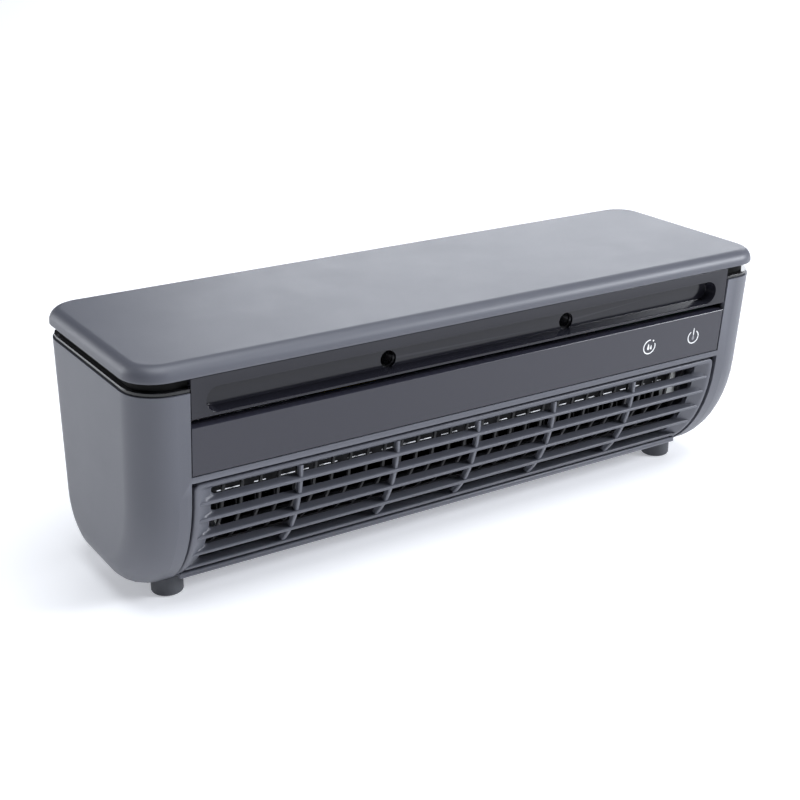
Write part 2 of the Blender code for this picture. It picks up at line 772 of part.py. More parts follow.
def heater():
    front, rear = HEATER_Y - HEATER_DEEP / 2, HEATER_Y + HEATER_DEEP / 2
    half = HEATER_X / 2
    middle = (HEATER_LOW + HEATER_HIGH) / 2
    core_low, core_high = middle - 2 * MM, middle + 2 * MM
    boxes("heater_core", [((-half, front, core_low), (half, rear, core_high))], "aluminium")
    fin_half = half - 3 * MM
    fin_pack("heater_fins_lower", HEATER_LOW, core_low - GAP, front, rear, fin_half)
    fin_pack("heater_fins_upper", core_high + GAP, HEATER_HIGH, front, rear, fin_half)
    for side, sx in (("left", -1), ("right", 1)):
        low_x, high_x = sorted((sx * (half + GAP), sx * (half + 5 * MM)))
        corners = ((low_x, front, HEATER_LOW), (high_x, rear + MM, DECK_Z - GAP))
        boxes(f"heater_bracket_{side}", [corners], "white_plastic")


def rod(name, low_x, high_x, radius, material_name, sides):
    """A cylinder along X, standing on the blower's axis and turning about it."""
    made = cylinders(name, [((low_x, 0, 0), (high_x, 0, 0), radius)], material_name, sides)
    made.location = (0, BLOWER_Y, BLOWER_Z)
    return made


def impeller():
    """The cross-flow rotor: blades round the rim between three discs. It turns on the X axis."""
    half = IMPELLER_X / 2
    disc = 0.6 * MM
    bm = bmesh.new()
    for x in (-half + disc, 0, half - disc):
        add_cylinder(bm, (x - disc, 0, 0), (x + disc, 0, 0), IMPELLER_R, 28)
    rotor = add_object("impeller", mesh_of(bm, "impeller"), "inner_plastic")
    rotor.location = (0, BLOWER_Y, BLOWER_Z)
    blade = Vector((half - GAP, 0.4 * MM, 2.4 * MM))
    lean = Matrix.Rotation(math.radians(35), 4, "X")
    out = Matrix.Translation((0, 0, IMPELLER_R - 2.9 * MM))
    bm = bmesh.new()
    for index in range(IMPELLER_BLADES):
        turn = Matrix.Rotation(2 * math.pi * index / IMPELLER_BLADES, 4, "X")
        bmesh.ops.transform(bm, matrix=turn @ out @ lean, verts=add_box(bm, -blade, blade))
    blades = add_object("impeller_blades", mesh_of(bm, "impeller_blades"), None, True)
    blades.location = rotor.location
    boolean(rotor, blades, "UNION")
    boolean(rotor, rod("impeller_bore", -half - MM, half + MM, 1.6 * MM, None, 16))
    rod("impeller_shaft", -half - 7 * MM, half + 5 * MM, 1.45 * MM, "steel", 16)


def blower_static():
    """The bush at the rotor's free end, its plate, and the motor at the other end."""
    half = IMPELLER_X / 2
    end = -half - 6 * MM
    profile = [
        (4 * MM, 4 * MM),
        (4 * MM, 0),
        (1.5 * MM, 0),
        (1.5 * MM, 4 * MM),
        (4 * MM, 4 * MM),
    ]
    turned("bearing_bush", profile, facing((end, BLOWER_Y, BLOWER_Z), (1, 0, 0)), "brass", 24)
    motor_x = half + 1.5 * MM
    motor = rod("blower_motor", motor_x, motor_x + 22 * MM, 13 * MM, "steel", 32)
    boolean(motor, rod("motor_bore", motor_x - MM, motor_x + 5 * MM, 1.7 * MM, None, 16))
    bearing_plate(end)


def bearing_plate(x):
    """The upright plate that holds the bush."""
    low = (x + 0.8 * MM, BLOWER_Y - 12 * MM, BLOWER_Z - 20 * MM)
    high = (x + 3.2 * MM, BLOWER_Y + 12 * MM, DECK_Z - GAP)
    plate = boxes("bearing_plate", [(low, high)], "white_plastic")
    boolean(plate, rod("bush_seat", x - MM, x + 6 * MM, 4 * MM + GAP, None, 24))


def arc(radius_start, radius_end, start, end, steps):
    """Points round the blower's axis, the radius growing evenly, angles from +Y towards +Z."""
    points = []
    for index in range(steps + 1):
        part = index / steps
        angle = math.radians(start + (end - start) * part)
        radius = radius_start + (radius_end - radius_start) * part
        points.append((BLOWER_Y + radius * math.cos(angle), BLOWER_Z + radius * math.sin(angle)))
    return points


def scroll_housing():
    """The curved sheet that guides the air round under the rotor and out to the front."""
    half = IMPELLER_X / 2 - 0.5 * MM
    outer = arc(21.6 * MM, 24.2 * MM, 20, -150, 16)
    inner = arc(20.2 * MM, 22.8 * MM, 20, -150, 16)
    extruded("scroll_housing", [outer + inner[::-1]], -half, half, "inner_plastic")
    near = arc(17.2 * MM, 17.2 * MM, 100, 150, 6)
    far = arc(18.6 * MM, 20.6 * MM, 100, 150, 6)
    extruded("scroll_tongue", [near + far[::-1]], -half, half, "inner_plastic")


# ---------------------------------------------------------------- electronics and drying agent


def block(name, x, y, z, material_name):
    """A plain box from its (low, high) millimetres along each axis, z counted from the deck's top."""
    deck_top = DECK_Z + DECK_THICK
    low = (x[0] * MM, y[0] * MM, deck_top + z[0] * MM)
    return boxes(name, [(low, (x[1] * MM, y[1] * MM, deck_top + z[1] * MM))], material_name)


def electronics():
    deck_top = DECK_Z + DECK_THICK
    board = block("main_board", (-62, 62), (-26, 34), (3, 4.6), "circuit_green")
    legs = []
    for sx in (-1, 1):
        for y in (-22 * MM, 30 * MM):
            x = sx * 57 * MM
            legs.append(((x, y, deck_top + GAP), (x, y, deck_top + 4 * MM), 2 * MM))
    boolean(board, cylinders("board_legs", legs, sides=10), "UNION")
    block("transformer", (-52, -26), (-4, 22), (4.9, 21.9), "transformer_tape")
    block("relay", (2, 21), (8, 24), (4.9, 18.9), "component")
    block("terminal_block", (30, 56), (20, 31), (4.9, 13.9), "white_plastic")
    foot, top = (-12 * MM, 20 * MM, deck_top + 4.9 * MM), (-12 * MM, 20 * MM, deck_top + 22.9 * MM)
    cylinders("smoothing_capacitor", [(foot, top, 6 * MM)], "component")
    sink = block("heat_sink", (30, 54), (-8, 14), (4.9, 6.9), "aluminium")
    fins = []
    for index in range(6):
        x = (31 + 4 * index) * MM
        fins.append(((x, -8 * MM, deck_top + 6 * MM), (x + 1.2 * MM, 14 * MM, deck_top + 18.9 * MM)))
    boolean(sink, boxes("sink_fins", fins), "UNION")
    panel_back = -wall_y(PANEL_LOW, PANEL_THICK) + 1.2 * MM
    touch_low, touch_high = (62 * MM, panel_back, 64 * MM), (124 * MM, panel_back + 1.6 * MM, 82 * MM)
    boxes("touch_board", [(touch_low, touch_high)], "circuit_green")
    block("humidity_sensor", (70, 82), (8, 10), (-6.6, -1.9), "circuit_green")
    block("thermal_cutout", (-70, -56), (-14.6, -8), (-6.2, -1.9), "component")


def desiccant_cassettes():
    """Two trays of drying agent beside the boards, each under a slotted cover."""
    low_z = DECK_Z + DECK_THICK + 2.8 * MM
    high_z = low_z + 20 * MM
    cover_low = high_z + GAP
    half_y, wall, corner = 24 * MM, 1.5 * MM, 4 * MM
    for side, sx in (("left", -1), ("right", 1)):
        low_x, high_x = sorted((sx * TRAY_NEAR_X, sx * TRAY_FAR_X))
        corners = ((low_x, -half_y, low_z), (high_x, half_y, high_z))
        tray = rounded_box(f"desiccant_tray_{side}", *corners, corner, "white_plastic", steps=3)
        inside = (
            (low_x + wall, -half_y + wall, low_z + wall),
            (high_x - wall, half_y - wall, high_z + MM),
        )
        boolean(tray, rounded_box(f"tray_hollow_{side}", *inside, corner - MM, steps=3))
        corners = ((low_x, -half_y, cover_low), (high_x, half_y, cover_low + wall))
        cover = rounded_box(f"desiccant_cover_{side}", *corners, corner, "white_plastic", steps=3)
        slots = []
        for index in range(TRAY_SLOTS):
            x = low_x + (6 + 6 * index) * MM
            slot_low = (x, -half_y + 6 * MM, cover_low - MM)
            slots.append((slot_low, (x + 2.4 * MM, half_y - 6 * MM, cover_low + 3 * MM)))
        boolean(cover, boxes(f"cover_slots_{side}", slots))


body_shell()
rim_bezel()
touch_panel()
louvre_grille()
inner_guard()
lid_cover()
top_frame()
port_inserts()
intake_cover()
dust_filter()
power_inlet()
feet()
deck()
heater()
impeller()
blower_static()
scroll_housing()
electronics()
desiccant_cassettes()
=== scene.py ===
"""Filament dryer: looks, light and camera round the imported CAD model."""

import json
import math

import bmesh
import bpy
from mathutils import Matrix, Vector

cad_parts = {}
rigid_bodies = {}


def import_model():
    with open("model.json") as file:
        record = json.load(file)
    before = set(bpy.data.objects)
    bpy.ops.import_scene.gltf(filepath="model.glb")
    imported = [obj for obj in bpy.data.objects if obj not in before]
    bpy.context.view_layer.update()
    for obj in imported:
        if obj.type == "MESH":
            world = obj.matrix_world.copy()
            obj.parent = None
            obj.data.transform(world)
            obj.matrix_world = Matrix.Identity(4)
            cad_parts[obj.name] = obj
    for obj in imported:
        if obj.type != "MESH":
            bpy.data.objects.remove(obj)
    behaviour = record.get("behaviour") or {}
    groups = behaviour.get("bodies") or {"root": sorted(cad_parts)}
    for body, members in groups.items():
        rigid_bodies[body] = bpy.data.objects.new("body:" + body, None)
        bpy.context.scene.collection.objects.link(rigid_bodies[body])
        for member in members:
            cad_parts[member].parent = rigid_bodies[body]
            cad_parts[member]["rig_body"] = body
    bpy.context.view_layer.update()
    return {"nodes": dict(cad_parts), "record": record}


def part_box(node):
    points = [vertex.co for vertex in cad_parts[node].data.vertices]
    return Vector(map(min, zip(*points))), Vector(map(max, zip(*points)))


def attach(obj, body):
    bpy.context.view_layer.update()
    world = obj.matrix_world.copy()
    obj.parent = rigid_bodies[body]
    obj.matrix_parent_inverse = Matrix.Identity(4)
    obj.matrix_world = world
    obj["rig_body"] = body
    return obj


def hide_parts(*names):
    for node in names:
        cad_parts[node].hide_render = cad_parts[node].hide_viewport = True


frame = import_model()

MM = 0.001
NODES = frame["nodes"]

# Camera, in the model's own frame
YAW, PITCH = 0.56539, 0.3752
FOCAL_PX = 1445.3
OFFSET_MM = Vector((9.84, -46.665, 644.83))
FRAME_PX = 800
SENSOR_MM = 36

# Shell front wall, which the grille follows: a drafted face that runs into a quarter ellipse below
SHELL_HALF = 48.0 * MM
SHELL_TOP = 95.7 * MM
SHELL_FLOOR = 4.4 * MM
BELLY_DEEP = 38.0 * MM
BELLY_HIGH = 49.3 * MM
FRONT_DRAFT = 0.091

# Grille
GRILLE_HALF = 128.1 * MM
GRILLE_LOW = 10.1 * MM
GRILLE_TOP = 58.1 * MM
GRILLE_CORNER = 2.6 * MM
GRILLE_FACE = 0.4 * MM
GRILLE_THICK = 3.0 * MM
EDGE_ROUND = 0.75 * MM
RIM_HALF = 126.2 * MM
RIM_TOP = 56.5 * MM
OPEN_HALF = 120.1 * MM
OPEN_LOW = 10.5 * MM
OPEN_TOP = 54.5 * MM
RIM_CORNER = 1.6 * MM
OPEN_CORNER = 0.7 * MM
LIP_BEHIND = 0.4 * MM
FLANGE_SIDE = 4.0 * MM
FLANGE_TOP = 2.0 * MM
SLAT_HEIGHTS = [z * MM for z in (14.6, 23.7, 32.7, 41.1, 48.6)]
SLAT_HALF = 126.8 * MM
SLAT_LIP = 1.5 * MM
SLAT_DEEP = 3.9 * MM
SLAT_RISE = 0.8 * MM
SLAT_FILLET = 2.6 * MM
SLAT_HEEL = 0.4 * MM
SLAT_TOE = 0.15 * MM
SLAT_END_RUN = 1.2 * MM
SLAT_END_DEEP = 1.3 * MM
RIB_X = [x * MM for x in (-82.9, -39.2, 0.0, 39.2, 82.9)]
RIB_THICK = 1.7 * MM
RIB_INSET = (1.0 * MM, 3.4 * MM)
RIB_TAPER = 0.35 * MM
RIB_TAPER_DEEP = 0.5 * MM
RIB_ABOVE_SLAT = 0.6 * MM
RIB_PAST_OPENING = 0.8 * MM
RAIL_SHORT = 1.0 * MM
RAIL_END_RUN = 0.3 * MM
RAIL_END_SCALE = 0.85
RAIL_MIDDLE = (-22.5, 11.3)
RAIL_SECTION = [
    (-23.60, 11.9),
    (-23.52, 12.25),
    (-23.25, 12.45),
    (-22.9, 12.5),
    (-21.4, 12.5),
    (-21.4, 10.1),
    (-22.9, 10.1),
    (-23.25, 10.15),
    (-23.5, 10.4),
    (-23.58, 10.75),
    (-23.42, 11.05),
    (-23.42, 11.55),
]

# Heater ribbon seen over the top louvre
RIBBON_Z = [z * MM for z in (44.3, 45.6)]
RIBBON_Y = -27.9 * MM
RIBBON_HALF = 112 * MM
RIBBON_DASHES = [d * MM for d in (11, 5, 14, 8)]
RIBBON_BREAK = 5 * MM
RIBBON_THICK = 0.4 * MM

# Symbols on the touch panel
LINE_WIDE = 0.5 * MM
LINE_PROUD = 0.05 * MM
DRYING_SYMBOL = (87.4 * MM, 71.6 * MM)
DRYING_R = 3.2 * MM
POWER_SYMBOL = (112.9 * MM, 71.5 * MM)
POWER_R = 2.95 * MM

# Touch panel's chamfer, and the neck band under the lid
PANEL_FACE = 0.25 * MM
PANEL_TOP = 82.5 * MM
PANEL_CHAMFER_HIGH = 1.0 * MM
PANEL_CHAMFER_DEEP = 1.6 * MM
PANEL_EASE = (0.08 * MM, 0.12 * MM, 0.15 * MM)
PANEL_FOOT_EASE = 0.2 * MM
NECK_HALF_X = 146.9 * MM
NECK_HALF_Y = 44.8 * MM
NECK_CORNER = 12 * MM
NECK_THICK = 1.5 * MM
NECK_OVER_RIM = 0.1 * MM
NECK_INTO_LID = 0.05 * MM

# Thread in the two ports
PORT_Z = 90.2 * MM
THREAD_R = 3.02 * MM
THREAD_RIDGE = 0.42 * MM
THREAD_PITCH = 1.0 * MM
THREAD_TURNS = 8
THREAD_START = 0.6 * MM
THREAD_FLANKS = (0.38 * MM, 0.5 * MM, 0.88 * MM)

# Weld and flattening limits for the soft-edged copies, and how far each node's sharp edges are rounded
WELD_DISTANCE = 0.002 * MM
FLAT_WITHIN = math.radians(0.2)
SOFT_EDGES = {
    "lid_cover": 0.25 * MM,
    "body_shell": 0.25 * MM,
    "top_frame": 0.35 * MM,
    "rim_bezel": 0.15 * MM,
    "intake_cover": 0.2 * MM,
    "foot_1": 0.2 * MM,
    "foot_2": 0.2 * MM,
    "foot_3": 0.2 * MM,
    "foot_4": 0.2 * MM,
}

# Light: soft boxes, each with its place and size in metres and its power in watts
WORLD = 0.08
LIGHT_COLOR = (0.92, 0.95, 1.0)
FLOOR_GLOW = 0.35
LIGHTS = (
    ("top", (0.0, -0.35, 1.7), (1.4, 1.2), 27),
    ("back_right", (1.7, 1.9, 0.8), (2.0, 1.1), 26),
    ("front_right", (1.45, -1.05, 0.9), (0.7, 0.5), 34),
    ("back_left", (-1.3, 1.6, 0.55), (0.9, 0.9), 14),
)


# ---------------------------------------------------------------- materials


class Nodes:
    """A material's node tree, built one node at a time."""

    def __init__(self, name):
        self.material = bpy.data.materials.new(name)
        self.material.use_nodes = True
        self.tree = self.material.node_tree
        self.shader = self.tree.nodes["Principled BSDF"]
        self.coords = self.tree.nodes.new("ShaderNodeTexCoord").outputs["Object"]

    def link(self, source, target):
        self.tree.links.new(source, target)

    def noise(self, scale, detail=4.0, roughness=0.5, stretch=(1, 1, 1)):
        mapping = self.tree.nodes.new("ShaderNodeMapping")
        mapping.inputs["Scale"].default_value = stretch
        self.link(self.coords, mapping.inputs["Vector"])
        node = self.tree.nodes.new("ShaderNodeTexNoise")
        node.inputs["Scale"].default_value = scale
        node.inputs["Detail"].default_value = detail
        node.inputs["Roughness"].default_value = roughness
        self.link(mapping.outputs["Vector"], node.inputs["Vector"])
        return node.outputs["Fac"]

    def spread(self, value, low, high, from_low=0.3, from_high=0.7):
        node = self.tree.nodes.new("ShaderNodeMapRange")
        self.link(value, node.inputs["Value"])
        node.inputs["From Min"].default_value = from_low
        node.inputs["From Max"].default_value = from_high
        node.inputs["To Min"].default_value = low
        node.inputs["To Max"].default_value = high
        return node.outputs["Result"]

    def mix(self, factor, dark, light):
        node = self.tree.nodes.new("ShaderNodeMix")
        node.data_type = "RGBA"
        self.link(factor, node.inputs["Factor"])
        for socket, color in ((node.inputs[6], dark), (node.inputs[7], light)):
            if isinstance(color, tuple):
                socket.default_value = (*color, 1.0)
            else:
                self.link(color, socket)
        return node.outputs[2]

    def edges(self):
        """1 on outward edges, 0 on flat faces."""
        geometry = self.tree.nodes.new("ShaderNodeNewGeometry")
        return self.spread(geometry.outputs["Pointiness"], 0.0, 1.0, 0.52, 0.6)

    def bump(self, height, strength, distance):
        node = self.tree.nodes.new("ShaderNodeBump")
        node.inputs["Strength"].default_value = strength
        node.inputs["Distance"].default_value = distance
        self.link(height, node.inputs["Height"])
        self.link(node.outputs["Normal"], self.shader.inputs["Normal"])


def plastic(name, color, roughness, grain=0.35, grain_scale=2600, wear=0.12, variation=0.1, shine=0.5):
    """Moulded plastic with a fine spark-eroded grain, uneven gloss and slightly rubbed edges."""
    made = Nodes(name)
    made.shader.inputs["Specular IOR Level"].default_value = shine
    dark = tuple(c * (1 - variation) for c in color)
    light = tuple(min(1.0, c * (1 + variation)) for c in color)
    base = made.mix(made.spread(made.noise(18), 0, 1), dark, light)
    rubbed = tuple(min(1.0, c * (1 + 2.5 * wear) + 0.01) for c in color)
    made.link(made.mix(made.edges(), base, rubbed), made.shader.inputs["Base Color"])
    gloss = made.spread(made.noise(60, 6), roughness * 0.97, roughness * 1.05)
    made.link(gloss, made.shader.inputs["Roughness"])
    made.bump(made.noise(grain_scale, 3, 0.6), grain, 0.00012)
    return made.material


def metal(name, color, roughness, stretch=(1, 1, 1), scratch=0.2):
    made = Nodes(name)
    made.shader.inputs["Metallic"].default_value = 1.0
    dark = tuple(c * 0.85 for c in color)
    made.link(made.mix(made.spread(made.noise(90, 5), 0, 1), dark, color), made.shader.inputs["Base Color"])
    fine = made.noise(900, 3, 0.6, stretch)
    made.link(made.spread(fine, roughness - 0.08, roughness + 0.1), made.shader.inputs["Roughness"])
    made.bump(fine, scratch, 0.00008)
    return made.material


MATERIALS = {
    "grey_plastic": plastic("grey_plastic", (0.092, 0.096, 0.116), 0.42, 0.4, 2600, 0.12, 0.02),
    "black_plastic": plastic("black_plastic", (0.015, 0.015, 0.021), 0.12, 0.03, 1800, 0.1, 0.04, 0.32),
    # Near-black with almost no shine: the neck band's black plastic darkened further as painted shade in
    # the gap between lid and rim
    "painted_shade_black": plastic("painted_shade_black", (0.002, 0.002, 0.002), 0.6, 0.2, 1800, 0.02, 0.04, 0.08),
    "gloss_black": plastic("gloss_black", (0.004, 0.004, 0.005), 0.1, 0.02, 800),
    "panel_black": plastic("panel_black", (0.011, 0.011, 0.02), 0.24, 0.06, 2600, 0.1, 0.03),
    "inner_plastic": plastic("inner_plastic", (0.012, 0.012, 0.014), 0.5, 0.4),
    "rubber_grey": plastic("rubber_grey", (0.06, 0.063, 0.072), 0.7, 0.6, 1800),
    "steel": metal("steel", (0.6, 0.6, 0.61), 0.28),
    "aluminium": metal("aluminium", (0.8, 0.81, 0.83), 0.3, (1, 8, 1)),
    "brass": metal("brass", (0.72, 0.56, 0.28), 0.3),
    "circuit_green": plastic("circuit_green", (0.015, 0.1, 0.04), 0.4, 0.2, 1200),
    "component": plastic("component", (0.03, 0.03, 0.034), 0.5, 0.3),
    "transformer_tape": plastic("transformer_tape", (0.55, 0.4, 0.06), 0.45, 0.2),
    "filter_foam": plastic("filter_foam", (0.04, 0.04, 0.045), 0.95, 1.0, 900),
    "white_plastic": plastic("white_plastic", (0.7, 0.71, 0.7), 0.45, 0.3),
    "blackened_steel": metal("blackened_steel", (0.1, 0.1, 0.105), 0.3),
    # Near-black aluminium for the heater: painted shade for the dark outlet behind the louvres
    "painted_shade_aluminium": metal("painted_shade_aluminium", (0.02, 0.02, 0.021), 0.5, (1, 8, 1)),
    "heater_ribbon": metal("heater_ribbon", (0.75, 0.76, 0.78), 0.25, (1, 1, 9), 0.4),
    "symbol_grey": plastic("symbol_grey", (0.2, 0.2, 0.22), 0.4, 0.1, 1200, 0.02, 0.04),
    "symbol_white": plastic("symbol_white", (0.8, 0.81, 0.82), 0.4, 0.1, 1200, 0.02, 0.04),
}


SLOTS = {part["node"]: part["material_slot"] for part in frame["record"]["subparts"]}
DARKER = {
    "port_insert_left": "blackened_steel",
    "port_insert_right": "blackened_steel",
    # The heater's fins and core wear painted shade: their aluminium made near-black
    "heater_fins_upper": "painted_shade_aluminium",
    "heater_fins_lower": "painted_shade_aluminium",
    "heater_core": "painted_shade_aluminium",
}


def dress_cad_nodes():
    """Each node wears the material of its slot, or a darker one: blackened steel on the port sleeves, and
    near-black aluminium on the heater as painted shade behind the louvres.
    """
    for name, slot in SLOTS.items():
        mesh = NODES[name].data
        mesh.materials.clear()
        mesh.materials.append(MATERIALS[DARKER.get(name, slot)])


dress_cad_nodes()


# ---------------------------------------------------------------- mesh building


def wall_y(z, inset=0.0):
    """How far in front of the middle the shell's front wall stands at height z, less an inset."""
    deep, high = BELLY_DEEP - inset, BELLY_HIGH - inset
    low = SHELL_FLOOR + inset
    half = SHELL_HALF - inset - FRONT_DRAFT * (SHELL_TOP - z)
    rise = min(max((low + high - z) / high, 0.0), 1.0)
    return half - deep * (1 - math.sqrt(1 - rise * rise))


def on_wall(x, z, depth):
    return (x, -wall_y(z, GRILLE_FACE + depth), z)


def add_loft(bm, rings, closed=False):
    """Joins rings of points with quads. A closed loft meets its first ring; an open one is capped."""
    rows = [[bm.verts.new(p) for p in ring] for ring in rings]
    pairs = list(zip(rows, rows[1:]))
    if closed:
        pairs.append((rows[-1], rows[0]))
    count = len(rows[0])
    for a, b in pairs:
        for i in range(count):
            j = (i + 1) % count
            bm.faces.new((a[i], a[j], b[j], b[i]))
    if not closed:
        bm.faces.new(rows[0][::-1])
        bm.faces.new(rows[-1])


def finish_piece(name, bm, material, body, smooth_angle=35):
    """Makes the object, smooth-shaded up to an angle, and lets it ride on its body."""
    bmesh.ops.recalc_face_normals(bm, faces=bm.faces)
    mesh = bpy.data.meshes.new(name)
    bm.to_mesh(mesh)
    bm.free()
    mesh.shade_smooth()
    mesh.set_sharp_from_angle(angle=math.radians(smooth_angle))
    mesh.materials.append(MATERIALS[material])
    obj = bpy.data.objects.new(name, mesh)
    bpy.context.scene.collection.objects.link(obj)
    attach(obj, body)
    return obj


# ---------------------------------------------------------------- grille


def border_ring(half, low, high, corner, depth):
    """The grille border's outline at one depth, from the lower left up and round to the lower right."""
    side_steps, corner_steps = 20, 5
    points = []
    for i in range(side_steps):
        points.append((-half, low + (high - corner - low) * i / side_steps))
    for start, sx in ((180, -1), (90, 1)):
        for i in range(corner_steps + 1):
            turn = math.radians(start - 90 * i / corner_steps)
            x = sx * (half - corner) + corner * math.cos(turn)
            points.append((x, high - corner + corner * math.sin(turn)))
    for i in range(1, side_steps + 1):
        points.append((half, high - corner - (high - corner - low) * i / side_steps))
    return [on_wall(x, z, depth) for x, z in points]


def scoop_depth(along):
    """The border slopes in from its rim (0) to the opening's edge (1)."""
    return GRILLE_THICK * along


def add_border(bm):
    rings = [
        border_ring(GRILLE_HALF, GRILLE_LOW, GRILLE_TOP, GRILLE_CORNER, GRILLE_THICK),
        border_ring(GRILLE_HALF, GRILLE_LOW, GRILLE_TOP, GRILLE_CORNER, EDGE_ROUND),
    ]
    for turn in (30, 60, 90):
        inward = EDGE_ROUND * (1 - math.cos(math.radians(turn)))
        depth = EDGE_ROUND * (1 - math.sin(math.radians(turn)))
        half, top, corner = GRILLE_HALF - inward, GRILLE_TOP - inward, GRILLE_CORNER - inward
        rings.append(border_ring(half, GRILLE_LOW, top, corner, depth))
    steps = 7
    for step in range(steps + 1):
        along = step / steps
        half = RIM_HALF - (RIM_HALF - OPEN_HALF) * along
        top = RIM_TOP - (RIM_TOP - OPEN_TOP) * along
        corner = RIM_CORNER - (RIM_CORNER - OPEN_CORNER) * along
        rings.append(border_ring(half, OPEN_LOW, top, corner, scoop_depth(along)))
    back = GRILLE_THICK + LIP_BEHIND
    for side, above in ((0, 0), (FLANGE_SIDE, FLANGE_TOP)):
        rings.append(border_ring(OPEN_HALF + side, OPEN_LOW, OPEN_TOP + above, OPEN_CORNER, back))
    add_loft(bm, rings, closed=True)


def scoop_edge(depth):
    """How far out the opening reaches at a depth behind the face."""
    return RIM_HALF - (RIM_HALF - OPEN_HALF) * min(depth / GRILLE_THICK, 1.0)


def slat_section(x, z):
    """A louvre's ring at x: a rounded lip, then a blade that sweeps up into the border at the ends."""
    lip = SLAT_LIP
    points = []
    for turn in range(-90, 91, 30):
        depth = lip / 2 * (1 - math.cos(math.radians(turn)))
        points.append((depth, z + lip / 2 * (1 + math.sin(math.radians(turn)))))
    for step in range(1, 9):
        depth = lip / 2 + (SLAT_DEEP - lip / 2) * step / 8
        over = min(max(abs(x) - (scoop_edge(depth) - SLAT_FILLET), 0.0), SLAT_FILLET)
        sweep = SLAT_FILLET - math.sqrt(SLAT_FILLET**2 - over**2)
        points.append((depth, z + lip + SLAT_RISE * step / 8 + sweep))
    points.append((SLAT_DEEP, z + SLAT_RISE + SLAT_HEEL))
    points.append((lip, z + SLAT_TOE))
    return [(x, -wall_y(z + lip / 2, GRILLE_FACE) + depth, height) for depth, height in points]


def add_slats(bm):
    fine = 12
    ends = [SLAT_HALF - (SLAT_HALF - OPEN_HALF + SLAT_FILLET) * i / fine for i in range(fine + 1)]
    stations = [-x for x in ends] + ends[::-1]
    for z in SLAT_HEIGHTS:
        rings = []
        for x in stations:
            ring = slat_section(x, z)
            past = max(abs(x) - (RIM_HALF - SLAT_END_RUN), 0) / (SLAT_HALF - RIM_HALF + SLAT_END_RUN)
            back = SLAT_END_DEEP * (1 - math.sqrt(1 - min(past, 1.0) ** 2))
            rings.append([(px, py + back, pz) for px, py, pz in ring])
        add_loft(bm, rings)


def add_ribs(bm):
    low, high, steps = SLAT_HEIGHTS[0] + RIB_ABOVE_SLAT, OPEN_TOP + RIB_PAST_OPENING, 16
    heights = [low + (high - low) * i / steps for i in range(steps + 1)]
    for x in RIB_X:
        rings = []
        for z in heights:
            front, back = -wall_y(z, GRILLE_FACE + RIB_INSET[0]), -wall_y(z, GRILLE_FACE + RIB_INSET[1])
            slim, wide, shoulder = RIB_THICK / 2 - RIB_TAPER, RIB_THICK / 2, front + RIB_TAPER_DEEP
            ring = [(x - slim, front), (x + slim, front), (x + wide, shoulder), (x + wide, back)]
            ring += [(x - wide, back), (x - wide, shoulder)]
            rings.append([(px, py, z) for px, py in ring])
        add_loft(bm, rings)


def add_rail(bm):
    """The foot rail, drawn in slightly at both ends."""
    half = GRILLE_HALF - RAIL_SHORT
    full = half - RAIL_END_RUN
    middle_y, middle_z = RAIL_MIDDLE
    rings = []
    for x, scale in ((-half, RAIL_END_SCALE), (-full, 1), (full, 1), (half, RAIL_END_SCALE)):
        ring = []
        for y, z in RAIL_SECTION:
            drawn_y = middle_y + (y - middle_y) * scale
            drawn_z = middle_z + (z - middle_z) * scale
            ring.append((x, drawn_y * MM, drawn_z * MM))
        rings.append(ring)
    add_loft(bm, rings)


def grille():
    """The louvred outlet: border, five louvres, five ribs behind them and the foot rail."""
    bm = bmesh.new()
    add_border(bm)
    add_slats(bm)
    add_ribs(bm)
    add_rail(bm)
    piece = finish_piece("grille_visual", bm, "grey_plastic", "body")
    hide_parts("louvre_grille")


# ---------------------------------------------------------------- heater ribbon


def add_bar(bm, low, high):
    (x0, y0, z0), (x1, y1, z1) = low, high
    rings = [[(x, y0, z0), (x, y1, z0), (x, y1, z1), (x, y0, z1)] for x in (x0, x1)]
    add_loft(bm, rings)


def heater_ribbon():
    """Two bright ribbons across the heater's face, broken where its holders grip them."""
    bm = bmesh.new()
    x, turn = -RIBBON_HALF, 0
    while x < RIBBON_HALF:
        end = min(x + RIBBON_DASHES[turn % len(RIBBON_DASHES)], RIBBON_HALF)
        for z in RIBBON_Z:
            add_bar(bm, (x, RIBBON_Y, z), (end, RIBBON_Y + RIBBON_THICK, z + RIBBON_THICK))
        x = end + RIBBON_BREAK
        turn += 1
    piece = finish_piece("heater_ribbons", bm, "heater_ribbon", "body")


# ---------------------------------------------------------------- symbols


def add_line(bm, points, wide=LINE_WIDE):
    """A printed line along (x, z) points, just proud of the panel, with rounded-off ends."""
    count = len(points)
    rings = []
    for i, (x, z) in enumerate(points):
        before, after = points[max(i - 1, 0)], points[min(i + 1, count - 1)]
        run = Vector((after[0] - before[0], after[1] - before[1])).normalized()
        half = wide / 2 * (0.6 if i in (0, count - 1) else 1.0)
        left = (x - run.y * half, z + run.x * half)
        right = (x + run.y * half, z - run.x * half)
        front, back = -LINE_PROUD, LINE_PROUD
        ring = []
        for (px, pz), out in ((left, back), (left, front), (right, front), (right, back)):
            ring.append((px, out - wall_y(pz, PANEL_FACE), pz))
        rings.append(ring)
    add_loft(bm, rings)


def arc_points(center, radius, start, end, steps=28):
    turns = [math.radians(start + (end - start) * i / steps) for i in range(steps + 1)]
    return [(center[0] + radius * math.cos(t), center[1] + radius * math.sin(t)) for t in turns]


def add_drop(bm, center, high, slim):
    """A filled water drop, pointed at the top, with a radius of slim times its height."""
    outline = []
    radius = high * slim
    for i in range(20):
        turn = 2 * math.pi * i / 20
        lift = high * (1 - 2 * slim) * max(math.sin(turn), 0) ** 3
        outline.append((center[0] + radius * math.cos(turn), center[1] + radius * math.sin(turn) + lift))
    rings = []
    for out in (LINE_PROUD, -LINE_PROUD):
        rings.append([(x, out - wall_y(z, PANEL_FACE), z) for x, z in outline])
    add_loft(bm, rings)


